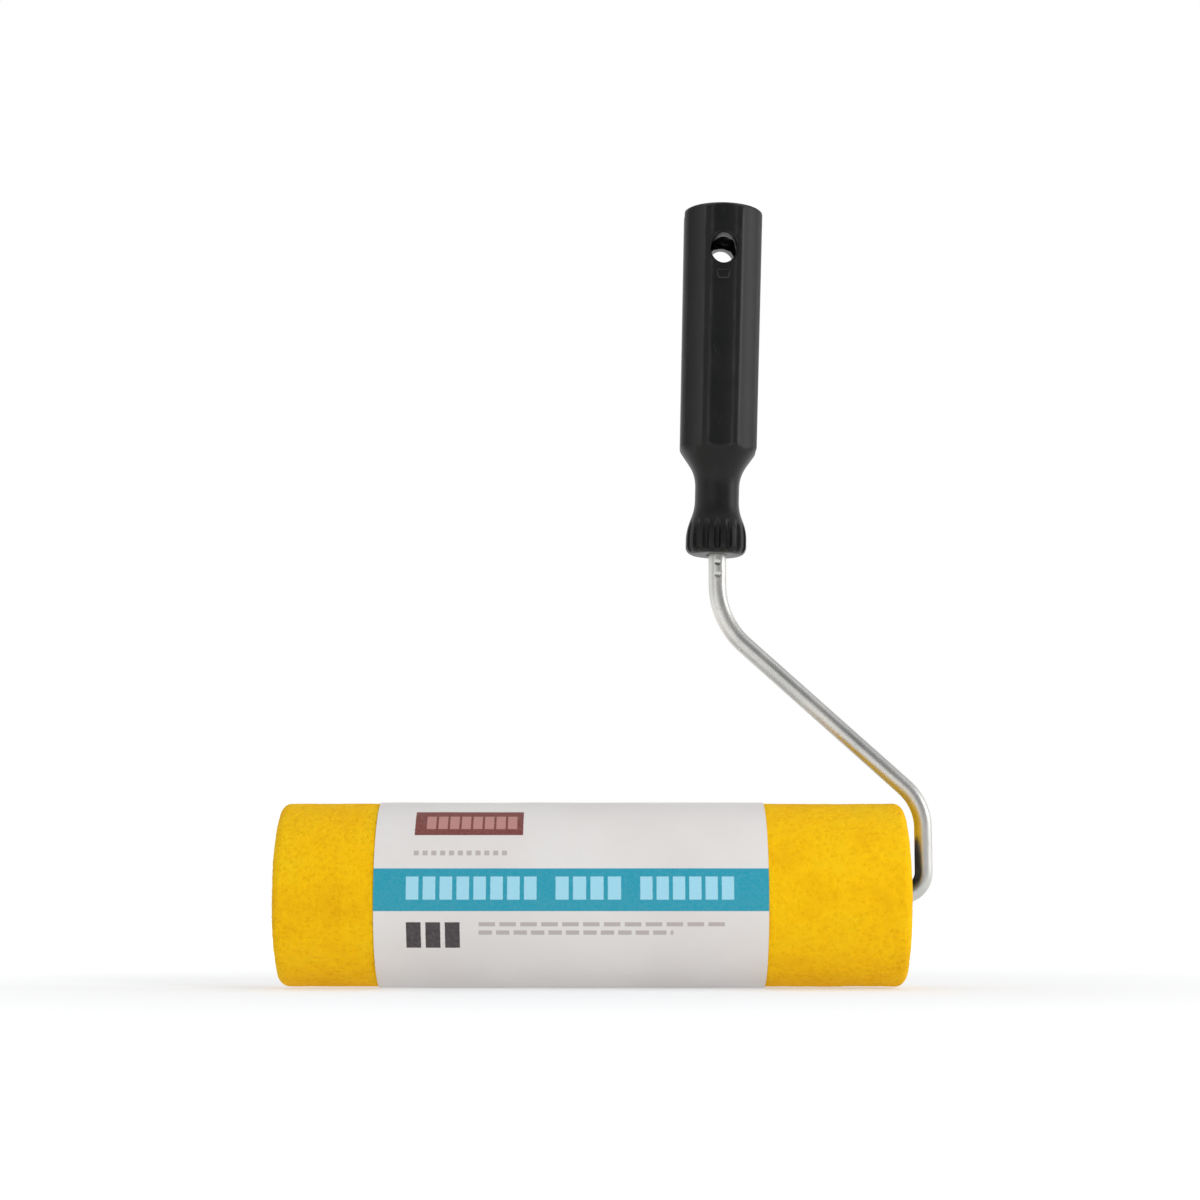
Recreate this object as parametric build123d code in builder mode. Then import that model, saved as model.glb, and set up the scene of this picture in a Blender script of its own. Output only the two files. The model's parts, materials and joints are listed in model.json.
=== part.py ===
"""Paint roller: foam cover on a wire cage frame, bent steel rod, moulded handle with a pole socket.

Millimetres, +Z up. The origin is the centre of the pole socket's mouth, at the top of the handle.
The roller lies along X below and to the -X side of it, and the rod runs down the roller's +X end.
"""

import os
from math import asin, atan2, cos, degrees, radians, sin, tan

from build123d import *

# ---- driving dimensions -------------------------------------------------------------------

# roller cover
cover_length = 225.0
cover_diameter = 66.0
cover_edge_radius = 3.2
core_bore = 38.0
core_wall = 1.5
core_recess = 1.5  # the core stops this far inside each end of the foam
glue_line = 0.05  # between the core and the foam
label_width = 138.3
label_offset = -7.4  # from the middle of the cover
label_gap = 0.2  # between the foam and the paper
label_thickness = 0.3

# where the roller hangs below the handle
axle_drop = 254.5
cover_offset = -48.9  # middle of the cover from the pole socket's mouth

# bent rod
rod_diameter = 6.5
arm_clearance = 1.9  # between the diagonal arm and the edge of the cover that it passes over
rod_offset = 0.55  # the rod leaves the handle upright, this far to the right of its axis
straight_below_handle = 24.3  # handle to the corner of the first bend
leg_gap = 4.4  # between the cover's end and the rod's upright leg
handle_bend_radius = 30.0
elbow_bend_radius = 20.0
axle_bend_radius = 8.3
tang_length = 50.0  # of rod inside the handle
rod_chamfer = 0.8
ear_length = 3.0  # ears swaged on the axle, which stop the cage
ear_proud = 1.55  # on each side of the axle
ear_thickness = 2.0
ear_from_bend = 0.5
jaw_mark_drops = (3.0, 7.5)  # below the handle
jaw_mark_radius = 0.7
jaw_mark_depth = 0.35

# handle
handle_lean = 1.55  # degrees, the top leans towards +X
grip_top_diameter = 30.6  # across the lands between the flutes
grip_low_diameter = 29.8
grip_length = 90.6
top_edge_radius = 2.5
flute_count = 8
flute_radius = 24.0
flute_depth = 1.1
flute_overrun = 12.0  # flutes run this far past the grip, out through its shoulder
shoulder_drop = 10.0
shoulder_edge_radius = 1.4
neck_diameter = 16.1
neck_length = 13.1
neck_blend_radius = 14.0
bell_diameter = 22.4
bell_flare = 7.3
bell_length = 9.3
bell_blend_radius = 18.0
bell_edge_radius = 3.0
bell_groove_count = 16
bell_groove_radius = 1.15
bell_groove_depth = 1.3
bell_groove_length = 17.0

# pole socket and hang hole
thread_minor_diameter = 15.8
thread_height = 1.7
thread_pitch = 5.08
thread_length = 31.0
thread_root_width = 1.3
thread_mouth_width = 3.0
thread_overlap = 0.4
socket_depth = 37.0
socket_chamfer = 0.4
relief_width = 3.6
relief_step = 0.25  # the run-out ring is this much wider than the thread
hang_hole_width = 9.6
hang_hole_height = 11.4
hang_hole_depth = 17.3
hang_ridge_width = 5.0
hang_ridge_height = 3.6
hang_ridge_gap = 2.6
hang_ridge_proud = 0.5
hang_ridge_root = 1.0
hang_ridge_corner = 0.8

# cage
cap_wall = 2.0
cap_clearance = 0.4  # between the end caps and the core
cap_edge_radius = 0.6
flange_thickness = 2.0
flange_clearance = 0.3  # between the flange and the foam around it
face_gap = 0.2  # between the flange and the end of the core
cap_depth = 18.0
web_thickness = 2.0
outer_web_recess = 7.0
hub_diameter = 15.0
hub_length = 11.0
bearing_wall = 1.7
bearing_flange_diameter = 14.0
bearing_flange_thickness = 1.5
bearing_length = 13.0
running_clearance = 0.08
seat_clearance = 0.05
end_play = 0.3
cage_wire_count = 5
cage_wire_diameter = 2.0
cage_wire_end_radius = 12.4
cage_wire_gap = 0.3  # between the wires' shoulders and the core
cage_wire_ramp = 26.0
cage_wire_waist = 0.9  # the wires dip this much to pass through the centre ring
cage_wire_bend_radius = 30.0
cage_waist_bend_radius = 250.0
centre_ring_width = 4.0
centre_ring_bore = 28.0
ring_hole_clearance = 0.15

# washers, push nut and dust cap
washer_thickness = 1.0
washer_diameter = 12.6
washer_chamfer = 0.2
nut_thickness = 0.6
nut_dome = 0.8
nut_diameter = 13.0
nut_cone_diameter = 9.6
nut_slot_count = 6
nut_slot_width = 1.0
nut_slot_length = 2.2
axle_tail = 2.0  # the axle stands this far past the push nut
dust_cap_thickness = 1.2
dust_cap_skirt = 3.0
dust_cap_skirt_wall = 1.2
dust_cap_clearance = 0.1

# ---- worked-out places --------------------------------------------------------------------

axle_z = -axle_drop
rod_radius = rod_diameter / 2
cover_radius = cover_diameter / 2
cover_right = cover_offset + cover_length / 2
cover_left = cover_offset - cover_length / 2
core_right = cover_right - core_recess
core_left = cover_left + core_recess
core_inner_radius = core_bore / 2
core_outer_radius = core_inner_radius + core_wall
foam_bore_radius = core_outer_radius + glue_line
label_inner_radius = cover_radius + label_gap
core_length = cover_length - 2 * core_recess
leg_x = cover_right + leg_gap + rod_radius

lean = radians(handle_lean)
handle_plane = Plane(origin=(0, 0, 0), x_dir=(cos(lean), 0, -sin(lean)), z_dir=(sin(lean), 0, cos(lean)))
handle_section = Plane(origin=(0, 0, 0), x_dir=(cos(lean), 0, -sin(lean)), z_dir=(0, -1, 0))
handle_axis = Axis((0, 0, 0), (sin(lean), 0, cos(lean)))
roller_axis = Axis((0, 0, axle_z), (1, 0, 0))
roller_plane = Plane(origin=(0, 0, axle_z), x_dir=(1, 0, 0), z_dir=(0, -1, 0))

grip_top_radius = grip_top_diameter / 2
grip_low_radius = grip_low_diameter / 2
neck_radius = neck_diameter / 2
bell_radius = bell_diameter / 2
neck_top = grip_length + shoulder_drop
neck_low = neck_top + neck_length
bell_top = neck_low + bell_flare
handle_length = bell_top + bell_length
rod_exit = handle_plane.from_local_coords((rod_offset, 0, -handle_length))
tang_top = rod_exit + Vector(0, 0, tang_length)
arm_top = rod_exit - Vector(0, 0, straight_below_handle)

grip_taper = degrees(atan2(grip_top_radius - grip_low_radius, grip_length))
thread_minor_radius = thread_minor_diameter / 2
thread_major_radius = thread_minor_radius + thread_height
relief_radius = thread_major_radius + relief_step
ridge_depth = hang_hole_depth + hang_hole_height / 2 + hang_ridge_gap + hang_ridge_height / 2
ridge_floor_radius = grip_top_radius - flute_depth - ridge_depth * tan(radians(grip_taper))

cap_radius = core_inner_radius - cap_clearance
cap_inner_radius = cap_radius - cap_wall
flange_radius = foam_bore_radius - flange_clearance
washer_bore_radius = rod_radius + seat_clearance
bearing_bore_radius = rod_radius + running_clearance
bearing_radius = rod_radius + running_clearance + bearing_wall
hub_bore_radius = bearing_radius + seat_clearance
wire_radius = cage_wire_diameter / 2
cap_straight = hub_length + web_thickness
nut_cone_radius = nut_cone_diameter / 2
wire_shoulder_radius = core_inner_radius - cage_wire_gap - wire_radius
wire_waist_radius = wire_shoulder_radius - cage_wire_waist

# along the roller from its inner end: ears, washer, bearing flange, web of the inner cap
ear_right = leg_x - axle_bend_radius - ear_from_bend
inner_washer_x = ear_right - ear_length - washer_thickness
inner_web_x = inner_washer_x - end_play - bearing_flange_thickness
inner_cap_x = core_right + face_gap + flange_thickness
# and from its outer end: cap, web, bearing flange, washer, push nut, end of the axle
outer_cap_x = core_left + end_play
outer_web_x = outer_cap_x + outer_web_recess
outer_washer_x = outer_web_x - bearing_flange_thickness - end_play - washer_thickness
nut_x = outer_washer_x - nut_thickness
axle_end_x = nut_x - axle_tail
cage_middle = (inner_web_x + outer_web_x) / 2

# sections through the cage's two ends: local X is the radius, local Y runs outwards from the web
inner_section = Plane(origin=(inner_web_x, 0, axle_z), x_dir=(0, 0, 1), z_dir=(0, 1, 0))
outer_section = Plane(origin=(outer_web_x, 0, axle_z), x_dir=(0, 0, 1), z_dir=(0, -1, 0))
inner_face = Plane(origin=(inner_web_x, 0, axle_z), x_dir=(0, 0, 1), z_dir=(1, 0, 0))
outer_face = Plane(origin=(outer_web_x, 0, axle_z), x_dir=(0, 0, 1), z_dir=(-1, 0, 0))


def ring_section(r_in, r_out, low, high):
    """Draw the rectangle that revolves into a ring between two radii and two heights."""
    with Locations(((r_in + r_out) / 2, (low + high) / 2)):
        Rectangle(r_out - r_in, high - low)


def save(part, label):
    """Name a finished piece and write it as its own file."""
    part.label = label
    export_step(part, f"parts/{label}.step")
    print(f"{label:22s} {part.volume:12.1f} mm3")


os.makedirs("parts", exist_ok=True)

# ---- frame: the bent rod ------------------------------------------------------------------

# the arm runs from below the handle to the upright leg, just clear of the cover's upper end edge
cover_edge = Vector(cover_right, 0, axle_z + cover_radius)
to_edge = cover_edge - arm_top
arm_slope = atan2(-to_edge.Z, to_edge.X) - asin((rod_radius + arm_clearance) / to_edge.length)
arm_bottom_z = arm_top.Z - (leg_x - arm_top.X) * tan(arm_slope)

with BuildPart() as frame_rod:
    with BuildLine() as rod_path:
        FilletPolyline(
            tang_top,
            arm_top,
            (leg_x, 0, arm_bottom_z),
            (leg_x, 0, axle_z),
            (axle_end_x, 0, axle_z),
            radius=[handle_bend_radius, elbow_bend_radius, axle_bend_radius],
        )
    with BuildSketch(Plane(origin=tang_top)):
        Circle(rod_radius)
    sweep()
    rod_ends = frame_rod.faces().filter_by(GeomType.PLANE).edges()
    chamfer(rod_ends, rod_chamfer)
    with Locations((ear_right - ear_length / 2, 0, axle_z)):
        Box(ear_length, rod_diameter + 2 * ear_proud, ear_thickness)
    # marks of the bending jaw, on the front of the rod below the handle
    for drop in jaw_mark_drops:
        mark_centre = rod_exit + Vector(0, jaw_mark_depth - rod_radius, -drop)
        with BuildSketch(Plane(origin=mark_centre, z_dir=(0, -1, 0))):
            Circle(jaw_mark_radius)
        extrude(amount=rod_radius, mode=Mode.SUBTRACT)
save(frame_rod.part, "frame_rod")

# ---- frame: the handle --------------------------------------------------------------------

with BuildPart() as handle_body:
    with BuildSketch(handle_section):
        with BuildLine():
            FilletPolyline(
                (0, 0),
                (grip_top_radius, 0),
                (grip_low_radius, -grip_length),
                (neck_radius, -neck_top),
                (neck_radius, -neck_low),
                (bell_radius, -bell_top),
                (bell_radius, -handle_length),
                (0, -handle_length),
                radius=[
                    top_edge_radius,
                    shoulder_edge_radius,
                    neck_blend_radius,
                    bell_blend_radius,
                    bell_blend_radius,
                    bell_edge_radius,
                ],
            )
            Line((0, -handle_length), (0, 0))
        make_face()
    revolve(axis=handle_axis)

    # shallow flutes down the grip, following its taper and running out through the shoulder
    with BuildSketch(handle_plane):
        with PolarLocations(grip_top_radius + flute_radius - flute_depth, flute_count, start_angle=-90):
            Circle(flute_radius)
    extrude(amount=-(grip_length + flute_overrun), taper=-grip_taper, mode=Mode.SUBTRACT)

    # grooves round the bell
    with BuildSketch(handle_plane.offset(bell_groove_length - handle_length)):
        groove_centre = bell_radius + bell_groove_radius - bell_groove_depth
        with PolarLocations(groove_centre, bell_groove_count, start_angle=-90):
            Circle(bell_groove_radius)
    extrude(amount=-handle_length, mode=Mode.SUBTRACT)

    # hole through the handle to hang it up by, from front to back
    hole_centre = handle_plane.from_local_coords((0, 0, -hang_hole_depth))
    with BuildSketch(Plane(origin=hole_centre, x_dir=handle_plane.x_dir, z_dir=(0, -1, 0))):
        Ellipse(hang_hole_width / 2, hang_hole_height / 2)
    extrude(amount=grip_top_diameter, both=True, mode=Mode.SUBTRACT)

    # moulded tab under the hole
    ridge_centre = handle_plane.from_local_coords((0, -ridge_floor_radius - hang_ridge_proud, -ridge_depth))
    with BuildSketch(Plane(origin=ridge_centre, x_dir=handle_plane.x_dir, z_dir=(0, -1, 0))):
        RectangleRounded(hang_ridge_width, hang_ridge_height, hang_ridge_corner)
    extrude(amount=-(hang_ridge_proud + hang_ridge_root))

    # pole socket: bore, lead-in cone and the run-out ring at the end of its thread
    with BuildSketch(handle_section):
        ring_section(0, thread_minor_radius, -socket_depth, thread_pitch)
        ring_section(0, relief_radius, -thread_length - relief_width, -thread_length)
        with BuildLine():
            Polyline(
                (0, 0),
                (thread_minor_radius + socket_chamfer, 0),
                (thread_minor_radius, -socket_chamfer),
                (0, -socket_chamfer),
                close=True,
            )
        make_face()
    revolve(axis=handle_axis, mode=Mode.SUBTRACT)

    # the thread's groove, one trapezoid swept up a helix from the run-out ring past the mouth
    thread_start = handle_plane.from_local_coords((0, 0, -thread_length - relief_width / 2))
    with BuildLine() as thread_path:
        Helix(
            thread_pitch,
            thread_length + relief_width / 2 + thread_pitch,
            thread_minor_radius,
            center=thread_start,
            direction=handle_plane.z_dir,
        )
    thread_tangent = thread_path.line % 0
    thread_outwards = (thread_path.line @ 0) - thread_start
    with BuildSketch(Plane(origin=thread_path.line @ 0, x_dir=thread_outwards, z_dir=thread_tangent)):
        with BuildLine():
            Polyline(
                (-thread_overlap, -thread_mouth_width / 2),
                (0, -thread_mouth_width / 2),
                (thread_height, -thread_root_width / 2),
                (thread_height, thread_root_width / 2),
                (0, thread_mouth_width / 2),
                (-thread_overlap, thread_mouth_width / 2),
                close=True,
            )
        make_face()
    sweep(is_frenet=True, mode=Mode.SUBTRACT)

    # bore for the rod's tang
    with BuildSketch(Plane(origin=tang_top + Vector(0, 0, seat_clearance))):
        Circle(rod_radius + seat_clearance)
    extrude(amount=-handle_length, mode=Mode.SUBTRACT)
save(handle_body.part, "handle_body")

# ---- frame: washers and push nut on the axle ----------------------------------------------

washer_places = {"inner_thrust_washer": inner_washer_x, "outer_thrust_washer": outer_washer_x}
for washer_name, washer_x in washer_places.items():
    with BuildPart() as washer:
        with BuildSketch(Plane(origin=(washer_x, 0, axle_z), z_dir=(1, 0, 0))):
            Circle(washer_diameter / 2)
            Circle(washer_bore_radius, mode=Mode.SUBTRACT)
        extrude(amount=washer_thickness)
        rims = washer.edges().filter_by(GeomType.CIRCLE).group_by(SortBy.RADIUS)[-1]
        chamfer(rims, washer_chamfer)
    save(washer.part, washer_name)

# spring-steel push nut: a flat rim and a cone of teeth that leans outwards and bites the axle
with BuildPart() as push_nut:
    with BuildSketch(Plane(origin=(nut_x, 0, axle_z), x_dir=(0, 0, 1), z_dir=(0, -1, 0))):
        with BuildLine():
            Polyline(
                (nut_diameter / 2, 0),
                (nut_diameter / 2, nut_thickness),
                (nut_cone_radius, nut_thickness),
                (washer_bore_radius, nut_thickness + nut_dome),
                (washer_bore_radius, nut_dome),
                (nut_cone_radius, 0),
                close=True,
            )
        make_face()
    revolve(axis=roller_axis)
    with BuildSketch(Plane(origin=(nut_x, 0, axle_z), z_dir=(-1, 0, 0))):
        with PolarLocations(washer_bore_radius + nut_slot_length / 2, nut_slot_count):
            Rectangle(nut_slot_length + seat_clearance, nut_slot_width)
    extrude(amount=nut_dome + nut_thickness, both=True, mode=Mode.SUBTRACT)
save(push_nut.part, "push_nut")

# ---- cage: end caps -----------------------------------------------------------------------

inner_lip = inner_cap_x - inner_web_x
with BuildPart() as inner_end_cap:
    with BuildSketch(inner_section):
        ring_section(cap_inner_radius, cap_radius, inner_lip - cap_depth, inner_lip)
        ring_section(cap_inner_radius, flange_radius, inner_lip - flange_thickness, inner_lip)
        ring_section(hub_bore_radius, cap_radius - cap_wall / 2, -web_thickness, 0)
        ring_section(hub_bore_radius, hub_diameter / 2, -hub_length, 0)
    revolve(axis=roller_axis)
    with BuildSketch(inner_face):
        with PolarLocations(cage_wire_end_radius, cage_wire_count):
            Circle(wire_radius + seat_clearance)
    extrude(amount=-web_thickness, mode=Mode.SUBTRACT)
    outer_rims = inner_end_cap.edges().filter_by(GeomType.CIRCLE).group_by(SortBy.RADIUS)[-1]
    fillet(outer_rims.sort_by(Axis.X)[-1], cap_edge_radius)
save(inner_end_cap.part, "inner_end_cap")

with BuildPart() as outer_end_cap:
    with BuildSketch(outer_section):
        ring_section(cap_inner_radius, cap_radius, outer_web_recess - cap_depth, outer_web_recess)
        ring_section(hub_bore_radius, cap_radius - cap_wall / 2, -web_thickness, 0)
        ring_section(hub_bore_radius, hub_diameter / 2, -hub_length, 0)
    revolve(axis=roller_axis)
    with BuildSketch(outer_face):
        with PolarLocations(cage_wire_end_radius, cage_wire_count):
            Circle(wire_radius + seat_clearance)
    extrude(amount=-web_thickness, mode=Mode.SUBTRACT)
    outer_rims = outer_end_cap.edges().filter_by(GeomType.CIRCLE).group_by(SortBy.RADIUS)[-1]
    fillet(outer_rims, cap_edge_radius)
save(outer_end_cap.part, "outer_end_cap")

# ---- cage: flanged bearings that run on the axle ------------------------------------------

for bearing_name, section in (("inner_bearing", inner_section), ("outer_bearing", outer_section)):
    with BuildPart() as bearing:
        with BuildSketch(section):
            ring_section(bearing_bore_radius, bearing_radius, -bearing_length, bearing_flange_thickness)
            ring_section(bearing_bore_radius, bearing_flange_diameter / 2, 0, bearing_flange_thickness)
        revolve(axis=roller_axis)
    save(bearing.part, bearing_name)

# ---- cage: spring wires and the ring that spaces them -------------------------------------

for index in range(cage_wire_count):
    wire_plane = roller_plane.rotated((index * 360 / cage_wire_count, 0, 0))
    half_path = [
        (0, cage_wire_end_radius),
        (cap_straight, cage_wire_end_radius),
        (cap_straight + cage_wire_ramp, wire_shoulder_radius),
    ]
    with BuildPart() as cage_wire:
        with BuildLine(wire_plane):
            FilletPolyline(
                *[(outer_web_x + x, r) for x, r in half_path],
                (cage_middle, wire_waist_radius),
                *[(inner_web_x - x, r) for x, r in reversed(half_path)],
                radius=[
                    cage_wire_bend_radius,
                    cage_wire_bend_radius,
                    cage_waist_bend_radius,
                    cage_wire_bend_radius,
                    cage_wire_bend_radius,
                ],
            )
        wire_start = wire_plane.from_local_coords((outer_web_x, cage_wire_end_radius, 0))
        with BuildSketch(Plane(origin=wire_start, z_dir=(1, 0, 0))):
            Circle(wire_radius)
        sweep()
    save(cage_wire.part, f"cage_wire_{index + 1}")

with BuildPart() as cage_centre_ring:
    with BuildSketch(Plane(origin=(cage_middle, 0, axle_z), x_dir=(0, 0, 1), z_dir=(1, 0, 0))):
        Circle(cap_radius)
        Circle(centre_ring_bore / 2, mode=Mode.SUBTRACT)
        with PolarLocations(wire_waist_radius, cage_wire_count):
            Circle(wire_radius + ring_hole_clearance, mode=Mode.SUBTRACT)
    extrude(amount=centre_ring_width / 2, both=True)
save(cage_centre_ring.part, "cage_centre_ring")

# ---- cage: dust cap pressed into the outer end cap ----------------------------------------

dust_cap_radius = cap_inner_radius - dust_cap_clearance
with BuildPart() as dust_cap:
    with BuildSketch(outer_section):
        ring_section(0, dust_cap_radius, outer_web_recess - dust_cap_thickness, outer_web_recess)
        ring_section(
            dust_cap_radius - dust_cap_skirt_wall,
            dust_cap_radius,
            outer_web_recess - dust_cap_thickness - dust_cap_skirt,
            outer_web_recess,
        )
    revolve(axis=roller_axis)
save(dust_cap.part, "dust_cap")

# ---- cover: core tube, foam sleeve and paper label ----------------------------------------

core_section = Plane(origin=(cover_offset, 0, axle_z), x_dir=(0, 0, 1), z_dir=(0, 1, 0))
with BuildPart() as core_tube:
    with BuildSketch(core_section):
        ring_section(core_inner_radius, core_outer_radius, -core_length / 2, core_length / 2)
    revolve(axis=roller_axis)
save(core_tube.part, "core_tube")

with BuildPart() as foam_sleeve:
    with BuildSketch(core_section):
        ring_section(foam_bore_radius, cover_radius, -cover_length / 2, cover_length / 2)
    revolve(axis=roller_axis)
    rims = foam_sleeve.edges().filter_by(GeomType.CIRCLE).group_by(SortBy.RADIUS)[-1]
    fillet(rims, cover_edge_radius)
save(foam_sleeve.part, "foam_sleeve")

with BuildPart() as label_wrap:
    with BuildSketch(core_section):
        ring_section(
            label_inner_radius,
            label_inner_radius + label_thickness,
            label_offset - label_width / 2,
            label_offset + label_width / 2,
        )
    revolve(axis=roller_axis)
save(label_wrap.part, "label_wrap")
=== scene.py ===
import json
import math

import bmesh
import bpy
import numpy as np
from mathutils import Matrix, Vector


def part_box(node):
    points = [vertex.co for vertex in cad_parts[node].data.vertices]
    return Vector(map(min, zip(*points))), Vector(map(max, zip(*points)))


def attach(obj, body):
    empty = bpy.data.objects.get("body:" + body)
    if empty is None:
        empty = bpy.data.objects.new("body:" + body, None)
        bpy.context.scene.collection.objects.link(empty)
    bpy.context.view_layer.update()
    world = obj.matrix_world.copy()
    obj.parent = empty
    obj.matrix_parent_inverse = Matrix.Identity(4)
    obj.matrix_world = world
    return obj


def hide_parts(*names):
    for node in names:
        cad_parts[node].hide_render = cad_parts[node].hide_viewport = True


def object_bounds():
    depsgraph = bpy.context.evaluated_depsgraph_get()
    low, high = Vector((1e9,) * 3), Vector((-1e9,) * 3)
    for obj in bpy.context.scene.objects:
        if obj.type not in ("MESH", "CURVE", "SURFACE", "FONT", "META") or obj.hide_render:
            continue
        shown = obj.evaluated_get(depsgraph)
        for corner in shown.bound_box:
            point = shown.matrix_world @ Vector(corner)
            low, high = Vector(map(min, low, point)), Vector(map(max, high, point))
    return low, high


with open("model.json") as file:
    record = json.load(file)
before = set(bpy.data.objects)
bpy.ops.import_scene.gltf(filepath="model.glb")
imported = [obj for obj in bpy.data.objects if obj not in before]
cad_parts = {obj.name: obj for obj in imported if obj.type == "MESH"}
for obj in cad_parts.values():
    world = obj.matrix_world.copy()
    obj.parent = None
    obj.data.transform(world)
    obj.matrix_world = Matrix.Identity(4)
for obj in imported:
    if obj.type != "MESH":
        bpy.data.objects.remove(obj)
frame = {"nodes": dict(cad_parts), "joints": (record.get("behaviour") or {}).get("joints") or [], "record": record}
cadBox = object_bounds()

# paint roller: foam cover with a paper band, wire cage, bent rod and moulded handle
# everything is in metres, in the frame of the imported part


def spinAxis():
    spin = next(j for j in frame["joints"] if j["name"] == "roller_spin")
    return Vector(spin["pos_m"])


def poleMouth():
    mount = next(m for m in frame["record"]["mounts"] if m["name"] == "pole_socket")
    return Vector(mount["pos_m"]), Vector(mount["axis"])


axleZ = spinAxis().z
floorZ = cadBox[0].z
foamLow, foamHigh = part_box("foam_sleeve")
foamMiddle = (foamLow.x + foamHigh.x) / 2


# small helpers for meshes and node trees

def showObject(name, data):
    shown = bpy.data.objects.new(name, data)
    bpy.context.scene.collection.objects.link(shown)
    return shown


def makeMesh(name, verts, faces, material):
    mesh = bpy.data.meshes.new(name)
    mesh.from_pydata([tuple(v) for v in verts], [], [tuple(f) for f in faces])
    mesh.validate()
    mesh.polygons.foreach_set("use_smooth", [True] * len(mesh.polygons))
    mesh.materials.append(material)
    mesh.update()
    return showObject(name, mesh)


def fromBmesh(name, bm):
    mesh = bpy.data.meshes.new(name)
    bm.to_mesh(mesh)
    bm.free()
    return showObject(name, mesh)


def placePiece(piece, body, slot, *nodes):
    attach(piece, body)
    if nodes:
        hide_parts(*nodes)
    print("made", piece.name, len(piece.data.polygons), "faces")
    return piece


def gridFaces(rows, columns, closeRows=False):
    # quads between rings of points, each ring closed, and the last ring joined to the first if asked
    r = np.arange(rows if closeRows else rows - 1)
    r, c = np.meshgrid(r, np.arange(columns), indexing="ij")
    here, there = r * columns, (r + 1) % rows * columns
    cNext = (c + 1) % columns
    return np.stack([here + c, here + cNext, there + cNext, there + c], -1).reshape(-1, 4)


def smoothStep(low, high, x):
    t = np.clip((x - low) / (high - low), 0, 1)
    return t * t * (3 - 2 * t)


def softMin(a, b, k):
    h = np.clip(0.5 + 0.5 * (b - a) / k, 0, 1)
    return b * (1 - h) + a * h - k * h * (1 - h)


def roundedPath(points, radii, step):
    # a polyline whose inner corners are arcs, as an array of points about one step apart
    pts = [np.array(p, float) for p in points]
    path = [pts[0]]
    for before, corner, after, radius in zip(pts, pts[1:], pts[2:], radii):
        a, b = before - corner, after - corner
        a, b = a / np.linalg.norm(a), b / np.linalg.norm(b)
        turn = math.pi - math.acos(np.clip(a @ b, -1, 1))
        if radius <= 0 or turn < 1e-4:
            path.append(corner)
            continue
        start, end = corner + a * radius * math.tan(turn / 2), corner + b * radius * math.tan(turn / 2)
        inwards = (a + b) / np.linalg.norm(a + b)
        centre = corner + inwards * radius / math.cos(turn / 2)
        count = max(3, int(math.ceil(turn * radius / (step * 0.5))))
        for t in np.linspace(0, 1, count + 1):
            across = (start - centre) * math.sin((1 - t) * turn) + (end - centre) * math.sin(t * turn)
            path.append(centre + across / math.sin(turn))
    path.append(pts[-1])
    filled = [path[0]]
    for p in path[1:]:
        gap = np.linalg.norm(p - filled[-1])
        if gap < 1e-9:
            continue
        parts = max(1, int(round(gap / step)))
        start = filled[-1]
        filled += [start + (p - start) * (i + 1) / parts for i in range(parts)]
    return np.array(filled)


def hashPoint(cell, seed):
    # three fixed pseudo-random numbers from 0 to 1 for each whole-number cell
    x, y, z = (cell[:, i].astype(np.int64) for i in range(3))
    h = (x * 73856093) ^ (y * 19349663) ^ (z * 83492791) ^ (seed * 2654435761)
    out = []
    for k in range(3):
        h = (h ^ (h >> 13)) * 1274126177 & 0x7FFFFFFF
        out.append((h % 100003) / 100003.0)
    return np.stack(out, -1)


def cellNoise(points, size, seed):
    # distance to the nearest cell centre, in cells, and that cell's own number from 0 to 1
    p = points / size
    base = np.floor(p)
    near = np.full(len(p), 9.0)
    own = np.zeros(len(p))
    for dx in (-1, 0, 1):
        for dy in (-1, 0, 1):
            for dz in (-1, 0, 1):
                cell = base + (dx, dy, dz)
                jitter = hashPoint(cell, seed)
                d = np.linalg.norm(cell + jitter - p, axis=1)
                closer = d < near
                own = np.where(closer, jitter[:, 0], own)
                near = np.where(closer, d, near)
    return near, own


def lumpNoise(points, size, seed):
    # smooth value noise from -1 to 1
    p = points / size
    base = np.floor(p)
    t = p - base
    t = t * t * (3 - 2 * t)
    total = np.zeros(len(p))
    for dx in (0, 1):
        for dy in (0, 1):
            for dz in (0, 1):
                weight = np.ones(len(p))
                for axis, d in enumerate((dx, dy, dz)):
                    weight = weight * (t[:, axis] if d else 1 - t[:, axis])
                total += weight * hashPoint(base + (dx, dy, dz), seed)[:, 0]
    return total * 2 - 1


def pointValue(piece, name, values):
    layer = piece.data.attributes.new(name, "FLOAT", "POINT")
    layer.data.foreach_set("value", np.asarray(values, np.float32))


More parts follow.
